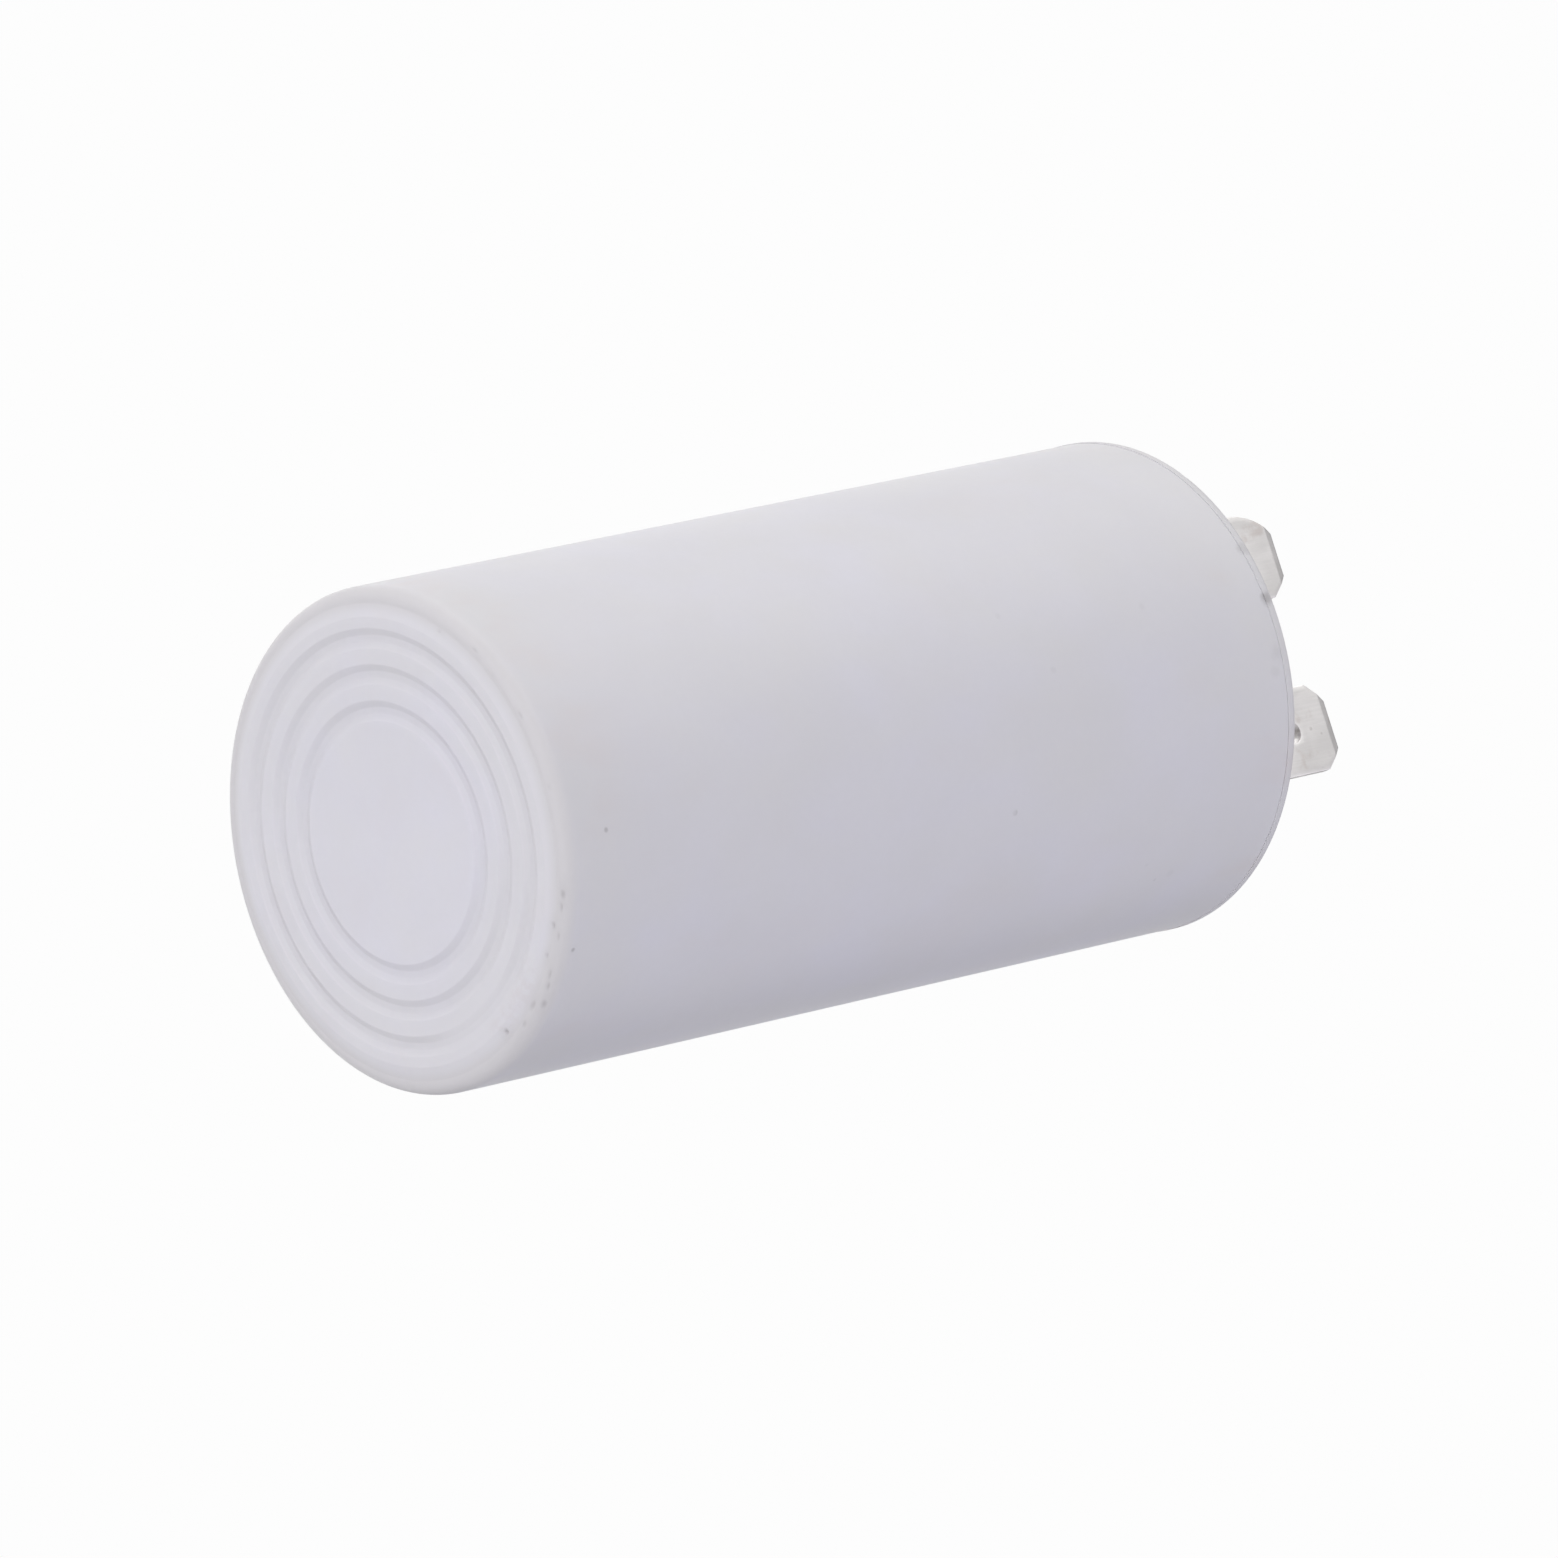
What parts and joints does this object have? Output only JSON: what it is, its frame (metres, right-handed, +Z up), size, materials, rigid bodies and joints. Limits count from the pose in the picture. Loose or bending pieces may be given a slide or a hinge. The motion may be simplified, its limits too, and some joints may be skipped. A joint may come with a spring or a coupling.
{
  "type": "motor start capacitor",
  "caption": "Cylindrical white plastic motor start capacitor with a ringed closed end and riveted double-tab terminals on the lid.",
  "frame": {"origin": "centre of the closed, grooved end of the case, on the plane that it stands on", "axes": "+Z up along the case from the closed end to the terminals; the two terminals lie side by side along Y, and each terminal's two blades are apart along X"},
  "size_m": [0.0352, 0.0352, 0.0833],
  "materials": {
    "case_plastic": "smooth semi-matte moulding, off-white",
    "lid_plastic": "smooth semi-matte moulding, off-white",
    "tinned_sheet": "dull bright-tin plate",
    "rivet_metal": "dull tin plate",
    "film": "metallised film, silver grey",
    "wrap_film": "clear yellowish film",
    "core_plastic": "extruded tube",
    "sprayed_metal": "rough sprayed zinc",
    "copper_wire": "bare copper",
    "sleeve_plastic": "flexible insulation",
    "solder": "soft solder, satin",
    "resin": "cast resin, glossy"
  },
  "bodies": {
    "root": {"case": "case_plastic", "contact_solder_a": "solder", "contact_solder_b": "solder", "core_tube": "core_plastic", "end_contact_lower": "sprayed_metal", "end_contact_upper": "sprayed_metal", "lead_sleeve_a": "sleeve_plastic", "lead_sleeve_b": "sleeve_plastic", "lead_wire_a": "copper_wire", "lead_wire_b": "copper_wire", "lid": "lid_plastic", "lug_solder_a": "solder", "lug_solder_b": "solder", "outer_wrap": "wrap_film", "potting_resin": "resin", "rivet_a": "rivet_metal", "rivet_b": "rivet_metal", "solder_lug_a": "tinned_sheet", "solder_lug_b": "tinned_sheet", "terminal_a": "tinned_sheet", "terminal_b": "tinned_sheet", "wound_film": "film"}
  },
  "joints": []
}
